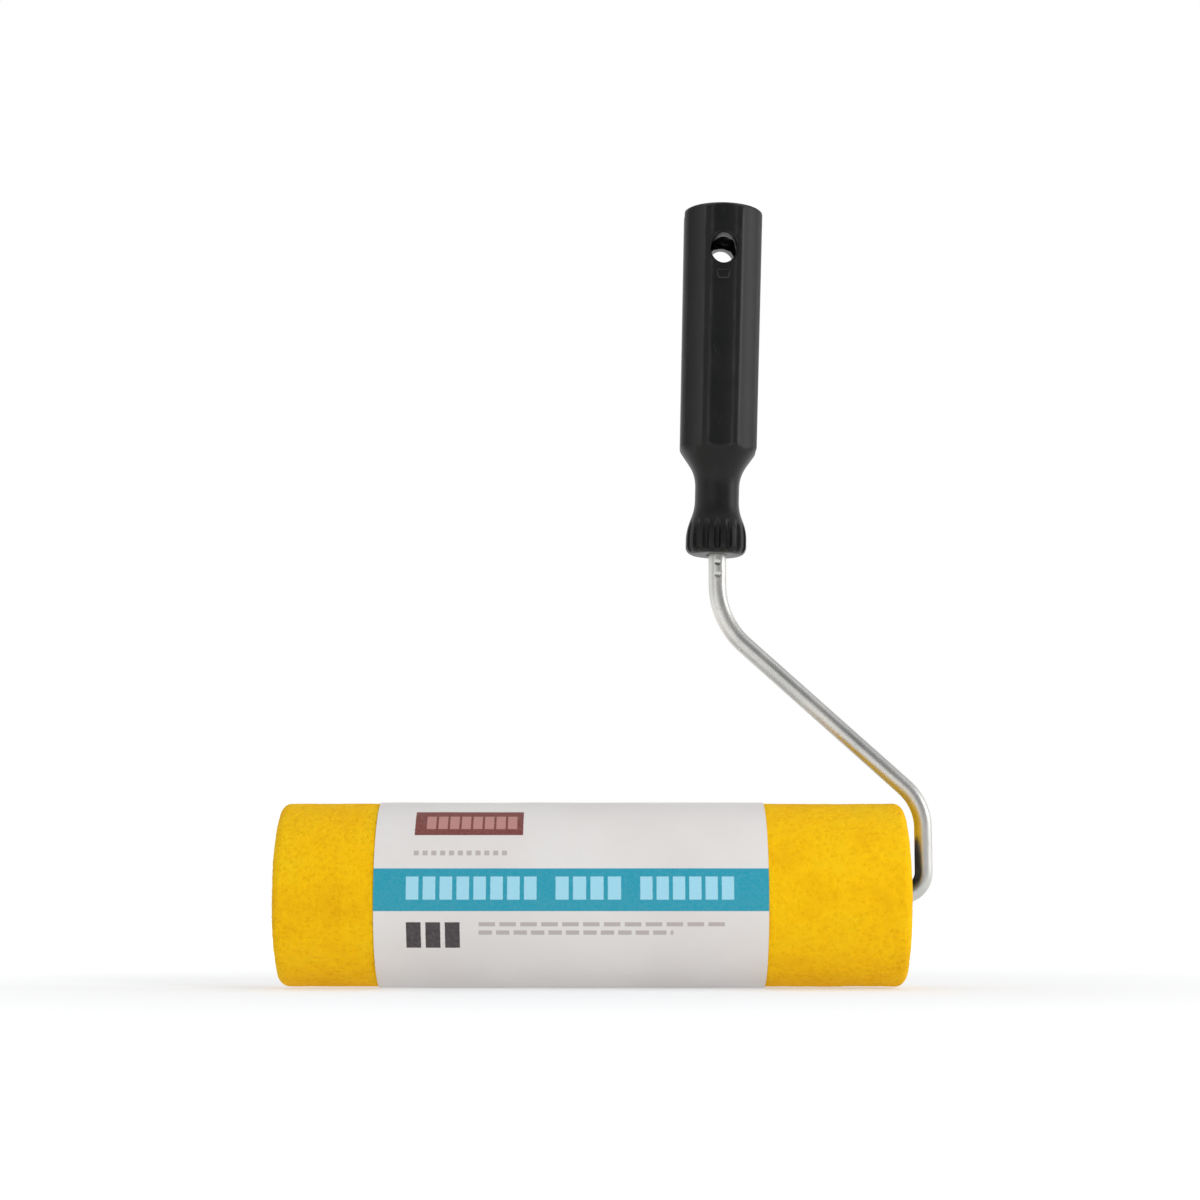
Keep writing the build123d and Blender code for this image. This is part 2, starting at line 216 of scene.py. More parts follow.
class Tree:
    # short way to add and join the nodes of a material or a geometry group

    def __init__(self, tree):
        self.tree = tree

    def add(self, kind, inputs=None, **settings):
        node = self.tree.nodes.new(kind)
        for key, value in settings.items():
            setattr(node, key, value)
        for key, value in (inputs or {}).items():
            socket = node.inputs[key]
            if hasattr(value, "is_output"):
                self.tree.links.new(value, socket)
            else:
                socket.default_value = value
        return node

    def math(self, operation, a, b=0.0, c=0.0):
        return self.add("ShaderNodeMath", {0: a, 1: b, 2: c}, operation=operation).outputs[0]

    def ramp(self, value, *stops):
        node = self.add("ShaderNodeValToRGB", {0: value})
        bands = node.color_ramp.elements
        while len(bands) < len(stops):
            bands.new(0.5)
        for band, (place, colour) in zip(bands, stops):
            band.position = place
            band.color = (*colour, 1)
        return node.outputs[0]

    def between(self, value, low, high, toLow=0.0, toHigh=1.0):
        node = self.add("ShaderNodeMapRange", {0: value, 1: low, 2: high, 3: toLow, 4: toHigh})
        return node.outputs[0]

    def mix(self, factor, a, b):
        return self.add("ShaderNodeMix", {0: factor, 6: a, 7: b}, data_type="RGBA").outputs[2]

    def noise(self, vector, scale, detail=3.0, rough=0.5):
        settings = {"Vector": vector, "Scale": scale, "Detail": detail, "Roughness": rough}
        return self.add("ShaderNodeTexNoise", settings).outputs[0]

    def link(self, a, b):
        self.tree.links.new(a, b)


def newMaterial(name):
    material = bpy.data.materials.new(name)
    material.use_nodes = True
    t = Tree(material.node_tree)
    shader = material.node_tree.nodes["Principled BSDF"]
    t.shader = shader
    t.place = t.add("ShaderNodeTexCoord").outputs["Object"]
    return material, t


def bumpFrom(t, height, strength, distance, normal=None):
    inputs = {"Height": height, "Strength": strength, "Distance": distance}
    if normal is not None:
        inputs["Normal"] = normal
    return t.add("ShaderNodeBump", inputs).outputs[0]


def stretched(t, vector, scale):
    return t.add("ShaderNodeMapping", {"Vector": vector, "Scale": scale}).outputs[0]


# camera, light and floor

cameraSet = {"away": 0.9, "aside": 0.0027, "belowAxle": 0.0062, "pitchUp": 7.213, "lens": 73.96}
# each softbox: where it hangs from the roller's middle, its size, its watts, and if metal mirrors it
lightSet = {
    "overheadSoftbox": ((0.1, -0.1, 1.5), 2.0, 7.5, True),
    "keySoftbox": ((0.75, -1.20, 0.50), 0.35, 9.2, False),
    "fillSoftbox": ((-0.9, -1.6, 0.35), 1.3, 3.5, True),
    "edgeSoftbox": ((1.3, -0.12, 0.40), 0.6, 2.6, True),
}
roomSet = {
    "low": (1.0, 1.0, 1.0, 1),
    "high": (0.50, 0.51, 0.53, 1),
    "front": (0.22, 0.22, 0.23, 1),  # the dark of the room behind the camera
    "backdrop": (1, 1, 1, 1),
}
floorSet = {
    "size": 6.0,
    "dull": (0.81, 0.815, 0.82),
    "bright": (0.83, 0.835, 0.84),
    "glow": 1.2,
    "glowFrom": 0.26,  # metres from the handle's mouth
    "glowFull": 0.70,
}


def makeCamera():
    data = bpy.data.cameras.new("studioCamera")
    data.sensor_width = 36
    data.lens = cameraSet["lens"]
    data.clip_start, data.clip_end = 0.01, 50
    camera = showObject("studioCamera", data)
    camera.location = (foamMiddle + cameraSet["aside"], -cameraSet["away"], axleZ - cameraSet["belowAxle"])
    camera.rotation_euler = (math.radians(90 + cameraSet["pitchUp"]), 0, 0)
    bpy.context.scene.camera = camera


def makeLights():
    middle = Vector((foamMiddle, 0, axleZ))
    for name, (offset, size, power, mirrored) in lightSet.items():
        data = bpy.data.lights.new(name, "AREA")
        data.energy = power
        data.size = size
        lamp = showObject(name, data)
        lamp.visible_camera = False
        lamp.visible_glossy = mirrored
        lamp.location = middle + Vector(offset)
        lamp.rotation_euler = (middle - lamp.location).to_track_quat("-Z", "Y").to_euler()


def makeRoom():
    world = bpy.data.worlds.new("paleStudio")
    bpy.context.scene.world = world
    world.use_nodes = True
    t = Tree(world.node_tree)
    direction = t.add("ShaderNodeTexCoord").outputs["Generated"]
    part = t.add("ShaderNodeSeparateXYZ", {0: direction}).outputs
    colour = t.mix(t.between(part[2], 0.38, 0.62), roomSet["low"], roomSet["high"])
    colour = t.mix(t.between(part[1], -0.1, -0.75), colour, roomSet["front"])
    seen = t.add("ShaderNodeLightPath").outputs["Is Camera Ray"]
    colour = t.mix(seen, colour, roomSet["backdrop"])
    background = world.node_tree.nodes["Background"]
    t.link(colour, background.inputs[0])
    background.inputs[1].default_value = 1.0


def makeFloor():
    s = floorSet
    material, t = newMaterial("paleFloor")
    speckle = t.noise(t.place, 180.0, 4.0)
    t.link(t.ramp(speckle, (0.3, s["dull"]), (0.7, s["bright"])), t.shader.inputs["Base Color"])
    t.shader.inputs["Roughness"].default_value = 0.9
    t.shader.inputs["Specular IOR Level"].default_value = 0.0
    # away from the roller the floor turns into the same even white as the air
    away = t.add("ShaderNodeVectorMath", {0: t.place}, operation="LENGTH").outputs["Value"]
    glow = t.add("ShaderNodeEmission", {"Color": (1, 1, 1, 1), "Strength": s["glow"]}).outputs[0]
    share = t.between(away, s["glowFrom"], s["glowFull"], 0.30, 1.0)
    blend = t.add("ShaderNodeMixShader", {0: share, 1: t.shader.outputs[0], 2: glow}).outputs[0]
    t.link(blend, material.node_tree.nodes["Material Output"].inputs[0])
    turns = ((-1, -1), (1, -1), (1, 1), (-1, 1))
    corners = [(x * s["size"], y * s["size"], floorZ) for x, y in turns]
    makeMesh("studioFloor", corners, [(0, 1, 2, 3)], material)


makeCamera()
makeLights()
makeRoom()
makeFloor()
bpy.context.scene.view_settings.view_transform = "Standard"
print("camera, light and floor ready")


# Geometry Nodes trees: one sweeps a round bar along a path, one sets copies round the axle

def newTree(name, *sockets):
    group = bpy.data.node_groups.new(name, "GeometryNodeTree")
    group.interface.new_socket("Geometry", in_out="OUTPUT", socket_type="NodeSocketGeometry")
    group.interface.new_socket("Geometry", in_out="INPUT", socket_type="NodeSocketGeometry")
    for label, kind in sockets:
        group.interface.new_socket(label, in_out="INPUT", socket_type=kind)
    group.interface.new_socket("Finish", in_out="INPUT", socket_type="NodeSocketMaterial")
    t = Tree(group)
    return t, t.add("NodeGroupInput").outputs


def closeTree(t, given, geometry):
    real = t.add("GeometryNodeRealizeInstances", {"Geometry": geometry}).outputs[0]
    finished = t.add("GeometryNodeSetMaterial", {"Geometry": real, "Material": given["Finish"]}).outputs[0]
    t.link(finished, t.add("NodeGroupOutput").inputs[0])
    return t.tree


def barTree():
    # the path comes in as a mesh of edges, with the bar's swelling in its pathScale attribute
    t, given = newTree("barAlongPath", ("Bar Diameter", "NodeSocketFloat"), ("Bar Sides", "NodeSocketInt"))
    path = t.add("GeometryNodeMeshToCurve", {"Mesh": given["Geometry"]}).outputs[0]
    radius = t.math("MULTIPLY", given["Bar Diameter"], 0.5)
    circle = {"Resolution": given["Bar Sides"], "Radius": radius}
    ring = t.add("GeometryNodeCurvePrimitiveCircle", circle).outputs[0]
    swell = t.add("GeometryNodeInputNamedAttribute", {"Name": "pathScale"}, data_type="FLOAT").outputs[0]
    sweep = {"Curve": path, "Profile Curve": ring, "Scale": swell, "Fill Caps": True}
    return closeTree(t, given, t.add("GeometryNodeCurveToMesh", sweep).outputs[0])


def roundTree():
    # copies of the piece that comes in, turned about the axle; one in every Gap Every is left out
    whole = (("Copies", "NodeSocketInt"), ("Gap Every", "NodeSocketInt"))
    real = (("First Angle", "NodeSocketFloat"), ("Axle Height", "NodeSocketFloat"))
    t, given = newTree("copiesRoundAxle", *whole, *real)
    centre = t.add("ShaderNodeCombineXYZ", {2: given["Axle Height"]}).outputs[0]
    line = {"Count": given["Copies"], "Start Location": centre, "Offset": (0, 0, 0)}
    spots = t.add("GeometryNodeMeshLine", line).outputs[0]
    index = t.add("GeometryNodeInputIndex").outputs[0]
    share = t.math("DIVIDE", index, given["Copies"])
    turn = t.math("ADD", t.math("MULTIPLY", share, 2 * math.pi), given["First Angle"])
    rotation = t.add("ShaderNodeCombineXYZ", {0: turn}).outputs[0]
    beyondGap = t.math("MODULO", t.math("ADD", index, 1.0), given["Gap Every"])
    skipped = t.math("COMPARE", beyondGap, 0.0, 0.1)
    shown = t.math("SUBTRACT", 1.0, skipped)
    place = {"Points": spots, "Instance": given["Geometry"], "Rotation": rotation, "Selection": shown}
    return closeTree(t, given, t.add("GeometryNodeInstanceOnPoints", place).outputs[0])


def settle(piece):
    # keep what the piece's modifiers make as its plain mesh
    depsgraph = bpy.context.evaluated_depsgraph_get()
    result = bpy.data.meshes.new_from_object(piece.evaluated_get(depsgraph), depsgraph=depsgraph)
    piece.modifiers.clear()
    piece.data = result
    result.name = piece.name


def runTree(piece, tree, values):
    modifier = piece.modifiers.new("tree", "NODES")
    modifier.node_group = tree
    for item in tree.interface.items_tree:
        if item.in_out == "INPUT" and item.name in values:
            modifier[item.identifier] = values[item.name]
    settle(piece)


def tidyMesh(piece, sharpAngle=35, weld=1e-7):
    # merge doubled points, turn the faces outwards and keep creases sharper than the angle
    bm = bmesh.new()
    bm.from_mesh(piece.data)
    bmesh.ops.remove_doubles(bm, verts=bm.verts, dist=weld)
    bmesh.ops.recalc_face_normals(bm, faces=bm.faces)
    if bm.calc_volume(signed=True) < 0:
        bmesh.ops.reverse_faces(bm, faces=bm.faces)
    bm.to_mesh(piece.data)
    bm.free()
    piece.data.polygons.foreach_set("use_smooth", [True] * len(piece.data.polygons))
    piece.data.set_sharp_from_angle(angle=math.radians(sharpAngle))
    return piece


def barPiece(name, path, diameter, sides, chamfer, material):
    # a round bar swept along a path, its ends chamfered; also how far along each point of the path is
    along = np.concatenate([[0], np.cumsum(np.linalg.norm(np.diff(path, axis=0), axis=1))])
    fromEnd = np.minimum(along, along[-1] - along)
    mesh = bpy.data.meshes.new(name)
    mesh.from_pydata([tuple(p) for p in path], [(i, i + 1) for i in range(len(path) - 1)], [])
    piece = showObject(name, mesh)
    pointValue(piece, "pathScale", 1 - np.clip(chamfer - fromEnd, 0, None) / (diameter / 2) * 0.9)
    runTree(piece, barAlongPath, {"Bar Diameter": diameter, "Bar Sides": sides, "Finish": material})
    return piece, along


def setRound(piece, copies, material, firstAngle=0.0, gapEvery=1000):
    values = {"Copies": copies, "First Angle": firstAngle, "Gap Every": gapEvery}
    runTree(piece, copiesRoundAxle, {**values, "Axle Height": axleZ, "Finish": material})
    return tidyMesh(piece, 40)


def smallBar(name, shape, picked, offset):
    # a small block pushed into shape, with the picked edges rounded
    bm = bmesh.new()
    bmesh.ops.create_cube(bm, size=1.0)
    for v in bm.verts:
        v.co = shape(v.co)
    edges = [e for e in bm.edges if picked(e.verts[0].co.x, e.verts[1].co.x)]
    bmesh.ops.bevel(bm, geom=edges, offset=offset, segments=3, affect="EDGES", profile=0.5)
    return fromBmesh(name, bm)


def lathe(name, section, count, material, sharpAngle=35):
    # a ring or disc turned about the axle from (x, radius) points; radius 0 is a pole
    rows = np.array(section)
    angle = np.linspace(0, 2 * math.pi, count, endpoint=False)
    x, r, a = np.repeat(rows[:, 0], count), np.repeat(rows[:, 1], count), np.tile(angle, len(rows))
    verts = np.stack([x, r * np.sin(a), axleZ + r * np.cos(a)], -1)
    closed = rows[0][1] > 1e-6 or rows[-1][1] > 1e-6
    piece = makeMesh(name, verts, gridFaces(len(rows), count, closeRows=closed), material)
    return tidyMesh(piece, sharpAngle)


barAlongPath = barTree()
copiesRoundAxle = roundTree()
print("trees ready")


# foam sleeve

foamSet = {
    "edgeRadius": 0.0034,
    "step": 0.00058,
    "hiddenStep": 0.0024,
    "segments": 372,
    "poreSize": 0.0018,
    "poreDepth": 0.00028,
    "finePoreSize": 0.0010,
    "finePoreDepth": 0.00016,
    "lump": 0.00022,
    "lumpSizes": (0.012, 0.005),
    "underBand": 0.00008,
    "squeezeReach": 0.003,
    "boreGap": 0.00005,
}


def foamMaterial():
    material, t = newMaterial("yellowFoam")
    poreShadeMask = t.add("ShaderNodeAttribute", attribute_name="poreDepth").outputs["Fac"]
    broad = t.noise(t.place, 60.0, 3.0, 0.6)
    mottled = t.noise(t.place, 320.0, 3.0, 0.55)
    yellows = (0.3, (0.80, 0.43, 0.003)), (0.5, (0.88, 0.505, 0.003)), (0.72, (0.84, 0.53, 0.006))
    skin = t.ramp(broad, *yellows)
    skin = t.mix(t.between(mottled, 0.35, 0.68, 0.0, 0.3), skin, (0.77, 0.42, 0.003, 1))
    # the pits are painted a darker orange: painted shade in the pores
    deep = t.mix(t.between(poreShadeMask, 0.1, 1.0, 0.0, 0.3), skin, (0.70, 0.33, 0.002, 1))
    t.link(deep, t.shader.inputs["Base Color"])
    t.link(t.between(poreShadeMask, 0.0, 1.0, 0.86, 0.98), t.shader.inputs["Roughness"])
    t.shader.inputs["Specular IOR Level"].default_value = 0.12
    t.shader.inputs["Sheen Weight"].default_value = 0.04
    t.shader.inputs["Sheen Roughness"].default_value = 0.5
    t.shader.inputs["Sheen Tint"].default_value = (1.0, 0.75, 0.3, 1)
    cells = t.add("ShaderNodeTexVoronoi", {"Vector": t.place, "Scale": 1500.0}, feature="F1")
    tiny = t.between(cells.outputs["Distance"], 0.1, 0.6)
    fuzz = t.noise(t.place, 3200.0, 2.0)
    normal = bumpFrom(t, tiny, 0.7, 0.00018)
    t.link(bumpFrom(t, fuzz, 0.35, 0.0001, normal), t.shader.inputs["Normal"])
    return material


def foamProfile():
    # rows of (x, radius), round the cut section, fine where the foam shows
    low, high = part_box("foam_sleeve")
    labelLow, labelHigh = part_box("label_wrap")
    outer, bore = (high.z - low.z) / 2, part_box("core_tube")[1].z - axleZ + foamSet["boreGap"]
    r, step, hidden = foamSet["edgeRadius"], foamSet["step"], foamSet["hiddenStep"]
    left, right = low.x, high.x
    inLabel, outLabel = labelLow.x + 0.004, labelHigh.x - 0.004
    top = np.concatenate([
        np.arange(left + r, inLabel, step),
        np.arange(inLabel, outLabel, hidden),
        np.arange(outLabel, right - r, step),
    ])
    rows = [(x, outer) for x in top]
    turn = np.linspace(0, math.pi / 2, 9)
    rows += [(right - r + r * math.sin(a), outer - r + r * math.cos(a)) for a in turn]
    face = np.arange(outer - r - step, bore + 0.0004, -0.0007)
    rows += [(right, y) for y in face]
    rows += [(x, bore) for x in np.linspace(right - 0.0002, left + 0.0002, 40)]
    rows += [(left, y) for y in face[::-1]]
    rows += [(left + r - r * math.cos(a), outer - r + r * math.sin(a)) for a in turn[:-1]]
    return np.array(rows), outer, bore


def makeFoam():
    rows, outer, bore = foamProfile()
    count = foamSet["segments"]
    angle = np.linspace(0, 2 * math.pi, count, endpoint=False)
    x, radius, a = np.repeat(rows[:, 0], count), np.repeat(rows[:, 1], count), np.tile(angle, len(rows))
    along = np.roll(rows, -1, axis=0) - np.roll(rows, 1, axis=0)
    along /= np.linalg.norm(along, axis=1)[:, None]
    outX, outR = np.repeat(-along[:, 1], count), np.repeat(along[:, 0], count)  # outwards in the section
    points = np.stack([x, radius * np.sin(a), radius * np.cos(a)], -1)
    shown = smoothStep(bore + 0.0006, bore + 0.0022, radius)
    near, own = cellNoise(points, foamSet["poreSize"], 11)
    pit = 1 - smoothStep(0.25, 1.0, near / (0.34 + 0.38 * own))
    nearFine, ownFine = cellNoise(points, foamSet["finePoreSize"], 23)
    finePit = 1 - smoothStep(0.2, 1.0, nearFine / (0.3 + 0.3 * ownFine))
    broadLump, smallLump = foamSet["lumpSizes"]
    lump = lumpNoise(points, broadLump, 5) * 0.6 + lumpNoise(points, smallLump, 7) * 0.4
    push = foamSet["lump"] * (lump - 0.6) - foamSet["poreDepth"] * pit - foamSet["finePoreDepth"] * finePit
    labelLow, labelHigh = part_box("label_wrap")
    reach = foamSet["squeezeReach"]
    under = smoothStep(labelLow.x, labelLow.x + reach, x)
    under *= 1 - smoothStep(labelHigh.x - reach, labelHigh.x, x)
    under *= smoothStep(outer - 0.004, outer - 0.0005, radius)
    push = push * shown * (1 - under) + foamSet["underBand"] * under
    pushed = radius + outR * push
    verts = np.stack([x + outX * push, pushed * np.sin(a), axleZ + pushed * np.cos(a)], -1)
    foam = makeMesh("foamSleeve", verts, gridFaces(len(rows), count, closeRows=True), foamMaterial())
    tidyMesh(foam, 180)
    # how strongly each point lies in a pit; the material paints these pits darker as painted shade
    pointValue(foam, "poreDepth", np.clip(pit + 0.5 * finePit, 0, 1) * shown * (1 - under))
    return placePiece(foam, "cover", "foam", "foam_sleeve")


makeFoam()


# paper band round the foam, with a lapped seam at the back

bandSet = {
    "thickness": 0.00012,
    "lift": 0.00004,  # from the foam under it
    "seamAngle": -168.0,  # degrees from the front, where the wrap starts
    "lap": 21.0,  # degrees of the wrap that lie over its start
    "across": 80,
    "around": 330,
    "wave": 0.00007,
    "waveSize": 0.017,
    "edgeCurl": 0.00009,
    "curlSize": 0.009,
    "curlReach": 0.006,
    "lapRise": (352, 362),  # degrees from the wrap's start, where the lap climbs on to it
    "lapLoose": (375, 381),  # and where the lap's end lifts a little
    "patternRadius": 0.034,
}
bandLow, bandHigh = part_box("label_wrap")
bandWidth = bandHigh.x - bandLow.x
inks = {
    "paper": (0.71, 0.695, 0.675, 1),
    "paperShade": (0.665, 0.635, 0.62, 1),
    "teal": (0.006, 0.29, 0.40, 1),
    "paleBlue": (0.34, 0.64, 0.77, 1),
    "darkRed": (0.16, 0.030, 0.024, 1),
    "rose": (0.45, 0.22, 0.20, 1),
    "nearBlack": (0.045, 0.036, 0.040, 1),
    "grey": (0.44, 0.39, 0.39, 1),
}
# ink, left and right in mm from the band's left edge, low and high in degrees above the front,
# then the pitch of the blocks and the gap between them in mm
prints = (
    ("teal", -1, 142, -10.2, 15.6, 300, 0),
    ("paleBlue", 11.4, 58.4, -3.3, 10.6, 5.9, 1.5),
    ("paleBlue", 63.7, 88.1, -3.3, 10.6, 6.1, 1.5),
    ("paleBlue", 93.3, 127.5, -3.3, 10.6, 5.7, 1.4),
    ("darkRed", 13.8, 52.1, 38.5, 61, 300, 0),
    ("rose", 17.9, 50.1, 43.5, 55.5, 4.1, 0.8),
    ("grey", 13.8, 47.9, 24.0, 27.2, 3.1, 1.3),
    ("nearBlack", 11.4, 31.2, -34, -17, 6.8, 1.6),
    ("grey", 36.8, 122.9, -19.6, -17.0, 7.3, 1.5),
    ("grey", 36.8, 104.9, -25.0, -22.2, 6.1, 1.4),
    ("grey", 13.8, 84.9, 122, 125.5, 6.6, 1.5),
    ("grey", 13.8, 91.9, 129, 132.5, 7.4, 1.6),
    ("grey", 13.8, 76.9, 136, 139.5, 5.9, 1.5),
    ("grey", 13.8, 88.9, 143, 146.5, 6.9, 1.5),
    ("darkRed", 104.9, 124.9, 120, 148, 300, 0),
    ("rose", 107.9, 121.9, 126, 142, 4.7, 1.6),
)


def printGroup():
    # mask of a row of blocks: distances in mm and degrees, soft over a tenth of a mm or so
    group = bpy.data.node_groups.new("printedRow", "ShaderNodeTree")
    for label in ("Across", "Around", "Left", "Right", "Low", "High", "Pitch", "Gap"):
        group.interface.new_socket(label, in_out="INPUT", socket_type="NodeSocketFloat")
    group.interface.new_socket("Mask", in_out="OUTPUT", socket_type="NodeSocketFloat")
    t = Tree(group)
    given = t.add("NodeGroupInput").outputs

    def inside(value, low, high, soft):
        fromLow = t.math("SUBTRACT", value, low)
        fromHigh = t.math("SUBTRACT", high, value)
        return t.between(t.math("MINIMUM", fromLow, fromHigh), -soft, soft)

    wide = inside(given["Across"], given["Left"], given["Right"], 0.08)
    tall = inside(given["Around"], given["Low"], given["High"], 0.14)
    fromLeft = t.math("SUBTRACT", given["Across"], given["Left"])
    place = t.math("FLOORED_MODULO", fromLeft, given["Pitch"])
    block = inside(place, 0.0, t.math("SUBTRACT", given["Pitch"], given["Gap"]), 0.08)
    plain = t.math("LESS_THAN", given["Gap"], 0.01)
    block = t.math("MAXIMUM", block, plain)
    mask = t.math("MULTIPLY", t.math("MULTIPLY", wide, tall), block)
    t.link(mask, t.add("NodeGroupOutput").inputs[0])
    return group


def bandMaterial():
    material, t = newMaterial("labelPaper")
    flat = t.add("ShaderNodeUVMap", uv_map="bandMap").outputs[0]
    part = t.add("ShaderNodeSeparateXYZ", {0: flat}).outputs
    wobble = t.math("MULTIPLY", t.math("SUBTRACT", t.noise(t.place, 1400.0, 2.0), 0.5), 0.22)
    across = t.math("ADD", t.math("MULTIPLY", part[0], bandWidth * 1000), wobble)
    around = t.between(part[1], 0, 1, bandSet["seamAngle"], bandSet["seamAngle"] + 360 + bandSet["lap"])
    group = printGroup()
    fibres = t.noise(stretched(t, t.place, (0.6, 1, 1)), 420.0, 5.0, 0.65)
    clouds = t.noise(t.place, 28.0, 2.0)
    paper = t.mix(t.between(clouds, 0.3, 0.7), inks["paper"], inks["paperShade"])
    colour = t.mix(t.between(fibres, 0.35, 0.7, 0.0, 0.35), paper, inks["paperShade"])
    inked = None
    patchy = t.between(t.noise(t.place, 900.0, 3.0), 0.2, 0.75, 1.0, 0.93)
    for ink, left, right, low, high, pitch, gap in prints:
        row = t.add("ShaderNodeGroup")
        row.node_tree = group
        t.link(across, row.inputs[0])
        t.link(around, row.inputs[1])
        for index, value in enumerate((left, right, low, high, pitch, gap)):
            row.inputs[2 + index].default_value = value
        mask = t.math("MULTIPLY", row.outputs[0], patchy)
        colour = t.mix(mask, colour, inks[ink])
        inked = mask if inked is None else t.math("MAXIMUM", inked, mask)
    t.link(colour, t.shader.inputs["Base Color"])
    rough = t.math("ADD", t.between(inked, 0, 1, 0.50, 0.38), t.between(fibres, 0.3, 0.7, -0.03, 0.05))
    t.link(rough, t.shader.inputs["Roughness"])
    t.shader.inputs["Specular IOR Level"].default_value = 0.2
    normal = bumpFrom(t, fibres, 0.25, 0.00006)
    t.link(bumpFrom(t, inked, 0.3, 0.00002, normal), t.shader.inputs["Normal"])
    return material


def makeBand():
    s = bandSet
    across, around = s["across"], s["around"]
    thick = s["thickness"]
    innerRadius = foamSet["underBand"] + (foamHigh.z - axleZ) + s["lift"]
    xs = np.linspace(bandLow.x, bandHigh.x, across)
    turn = np.linspace(0, 360 + s["lap"], around)
    # the outer face, then the inner one back
    layer = np.concatenate([np.full(across, thick), np.zeros(across)])
    loopX = np.concatenate([xs, xs[::-1]])
    x, high = np.tile(loopX, around), np.tile(layer, around)
    deg = np.repeat(turn, 2 * across)
    theta = np.radians(s["seamAngle"] + deg)
    flat = np.stack([x, s["patternRadius"] * np.cos(theta), s["patternRadius"] * np.sin(theta)], -1)
    fromEdge = np.minimum(x - bandLow.x, bandHigh.x - x)
    atEdge = 1 - smoothStep(0, s["curlReach"], fromEdge)
    wave = s["wave"] * (1 + lumpNoise(flat, s["waveSize"], 31))
    wave = wave + s["edgeCurl"] * atEdge * lumpNoise(flat, s["curlSize"], 37)
    lapped = smoothStep(*s["lapRise"], deg) * thick * 1.5
    loose = smoothStep(*s["lapLoose"], deg) * 0.00008
    radius = innerRadius + high + wave + lapped + loose
    verts = np.stack([x, -radius * np.cos(theta), axleZ + radius * np.sin(theta)], -1)
    loop = 2 * across
    faces = [tuple(f) for f in gridFaces(around, loop)]
    for base in (0, (around - 1) * loop):
        ends = [(base + i, base + loop - 1 - i) for i in range(across)]
        faces += [(a, b, d, c) for (a, c), (b, d) in zip(ends, ends[1:])]
    band = makeMesh("labelWrap", verts, faces, bandMaterial())
    uv = band.data.uv_layers.new(name="bandMap")
    corner = np.zeros(len(band.data.loops), np.int32)
    band.data.loops.foreach_get("vertex_index", corner)
    u, v = (x - bandLow.x) / bandWidth, deg / (360 + s["lap"])
    uv.data.foreach_set("uv", np.stack([u[corner], v[corner]], -1).ravel())
    tidyMesh(band, 40, 1e-9)
    return placePiece(band, "cover", "label_paper", "label_wrap")


makeBand()


# bent rod

rodSet = {
    "diameter": 0.0065,
    "sides": 64,
    "step": 0.0012,
    "chamfer": 0.0008,
    "handleEnd": 0.1303,  # along the handle from the pole socket's mouth
    "offset": 0.00055,  # where it leaves the handle, to the right of the handle's axis
    "tang": 0.050,  # up inside the handle
    "straight": 0.0243,  # down to the corner of the first bend
    "bends": (0.030, 0.020, 0.0083),
    "jawMarks": (0.0030, 0.0075),  # below the handle
    "jawMarkDepth": 0.00036,
    "earWidth": 0.0030,
    "earProud": 0.00155,
    "earThickness": 0.0020,
    "earFromBend": 0.0005,
    "pinch": 0.00022,  # beside the ears
    "clearance": 0.0019,  # between the arm and the cover's upper edge
}


def handleFrame():
    mouth, up = poleMouth()
    up = up if up.z > 0 else -up
    side = Vector((up.z, 0, -up.x))
    return np.array(mouth), np.array(side), np.array((0.0, 1.0, 0.0)), np.array(up)


def onHandle(a, b, c):
    # a to the right, b to the back, c up the handle from the mouth of its socket
    mouth, side, back, up = handleFrame()
    return mouth + np.multiply.outer(a, side) + np.multiply.outer(b, back) + np.multiply.outer(c, up)


def steelMaterial():
    material, t = newMaterial("rodSteel")
    flow = t.add("ShaderNodeAttribute", attribute_name="rodFlow").outputs["Vector"]
    drawn = t.noise(stretched(t, flow, (1, 1, 0.02)), 1100.0, 2.0, 0.5)
    plating = t.noise(t.place, 240.0, 3.0, 0.5)
    blotch = t.noise(t.place, 46.0, 3.0, 0.6)
    greys = (0.3, (0.60, 0.60, 0.575)), (0.55, (0.71, 0.70, 0.67)), (0.75, (0.66, 0.635, 0.575))
    tint = t.ramp(blotch, *greys)
    tint = t.mix(t.between(drawn, 0.4, 0.75, 0.0, 0.3), tint, (0.40, 0.40, 0.39, 1))
    spots = t.between(plating, 0.64, 0.78)
    tint = t.mix(t.math("MULTIPLY", spots, 0.3), tint, (0.24, 0.23, 0.21, 1))
    t.link(tint, t.shader.inputs["Base Color"])
    t.shader.inputs["Metallic"].default_value = 1.0
    rough = t.math("ADD", t.between(blotch, 0.3, 0.7, 0.32, 0.42), t.between(drawn, 0.3, 0.7, -0.04, 0.06))
    t.link(rough, t.shader.inputs["Roughness"])
    normal = bumpFrom(t, drawn, 0.08, 0.00003)
    t.link(bumpFrom(t, plating, 0.05, 0.00003, normal), t.shader.inputs["Normal"])
    return material


def refine(path, places, reach, parts):
    # more points on the stretches within reach of the places
    out = [path[0]]
    for a, b in zip(path, path[1:]):
        close = min(np.linalg.norm((a + b) / 2 - p) for p in places) < reach
        count = parts if close else 1
        out += [a + (b - a) * (i + 1) / count for i in range(count)]
    return np.array(out)


